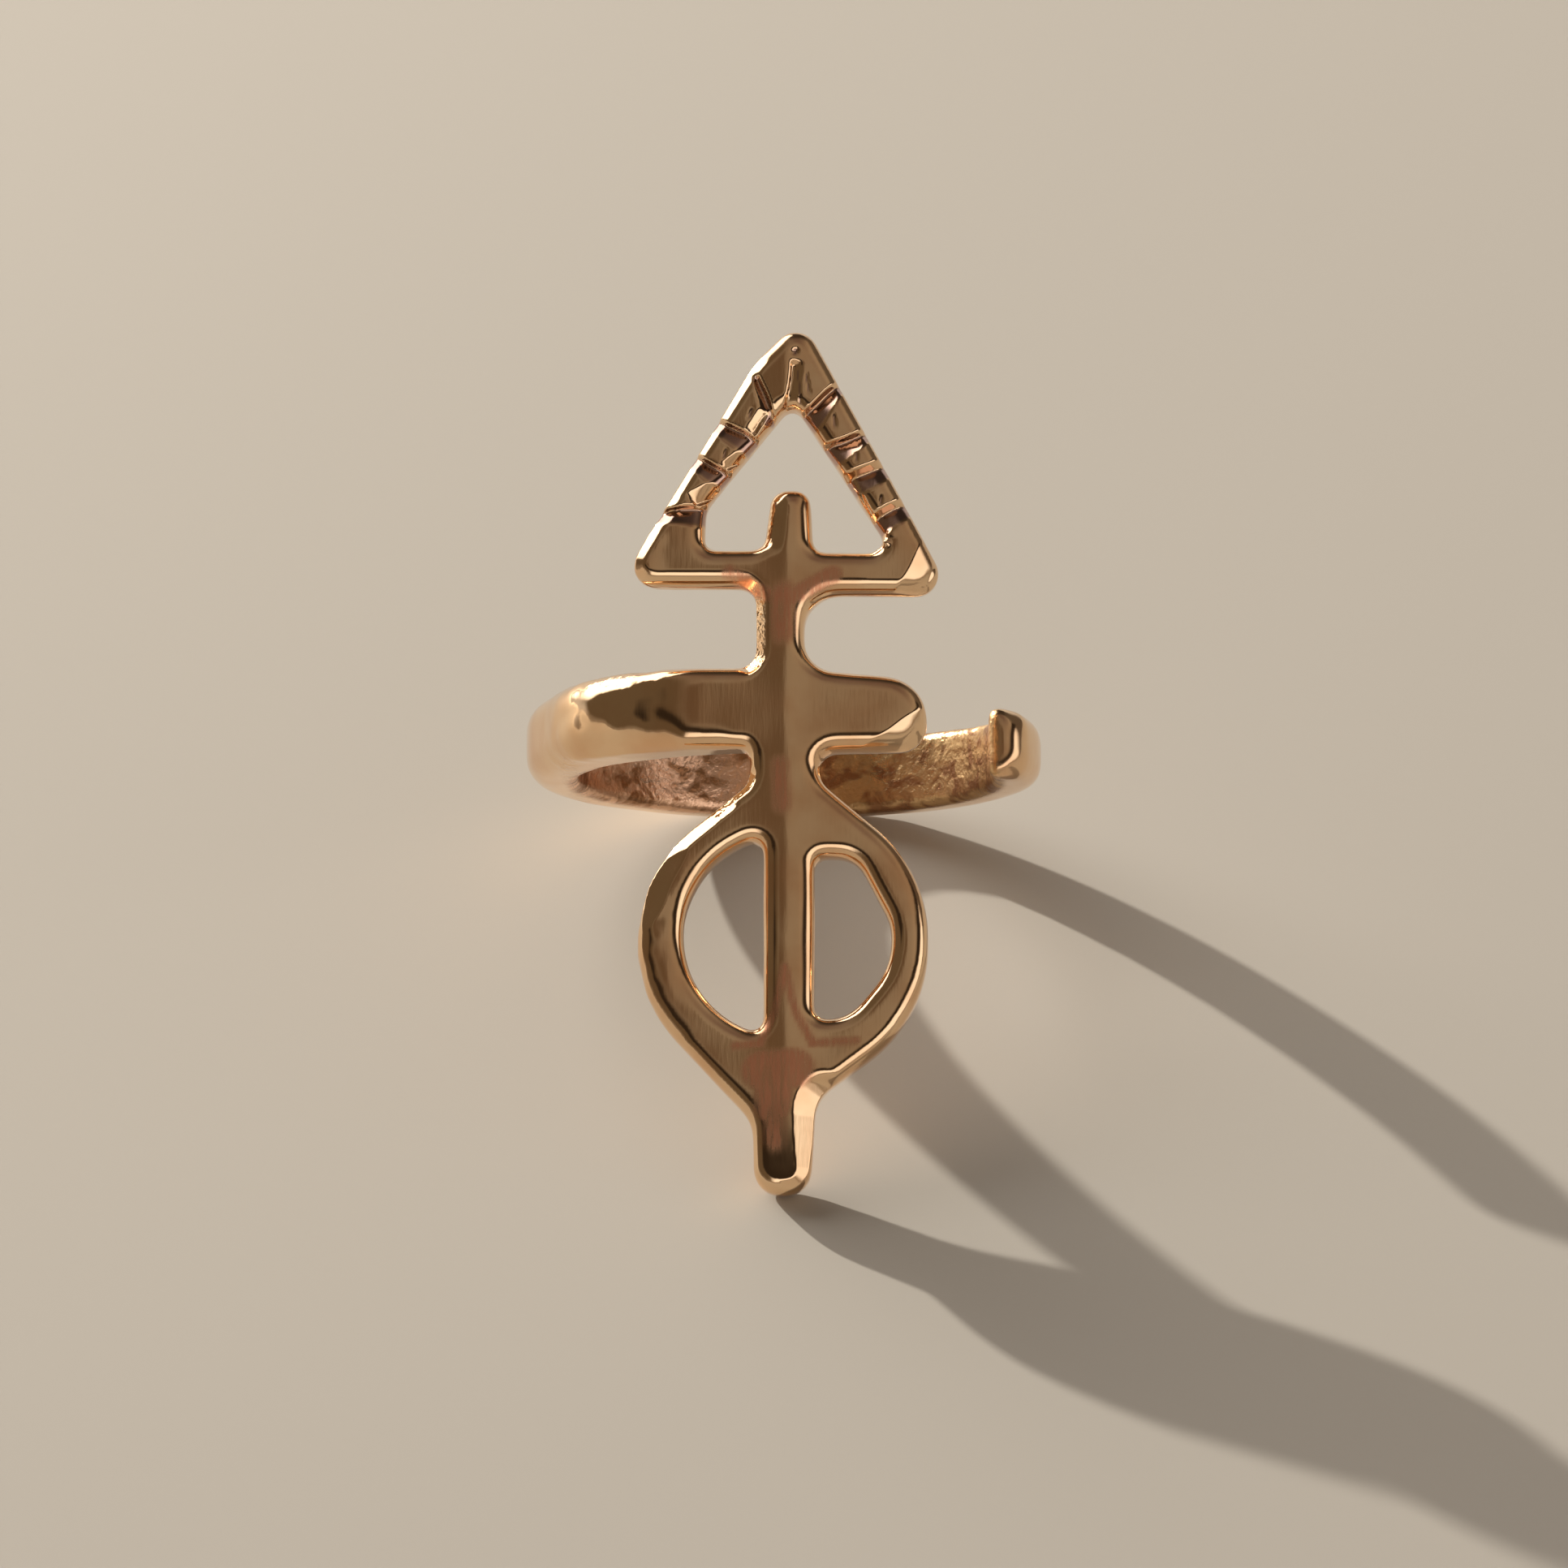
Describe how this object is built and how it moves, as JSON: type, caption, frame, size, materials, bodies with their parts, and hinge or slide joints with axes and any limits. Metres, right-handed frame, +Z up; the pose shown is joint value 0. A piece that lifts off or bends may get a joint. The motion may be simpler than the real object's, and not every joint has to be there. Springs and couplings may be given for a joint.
{
  "type": "ring",
  "caption": "Open cast metal ring: a long pierced face with a notched triangle, a crossbar that runs round into the band, and a loop with a middle bar and a tail.",
  "frame": {"origin": "middle of the bounding box, on the surface that the ring rests on", "axes": "+Z up, -Y towards the viewer and the tail, +Y towards the triangle, X across the finger"},
  "size_m": [0.0216, 0.0296, 0.0265],
  "materials": {
    "bronze": "polished cast bronze with a warm rose tone, left rough inside the band"
  },
  "bodies": {
    "root": {"ring": "bronze"}
  },
  "joints": []
}
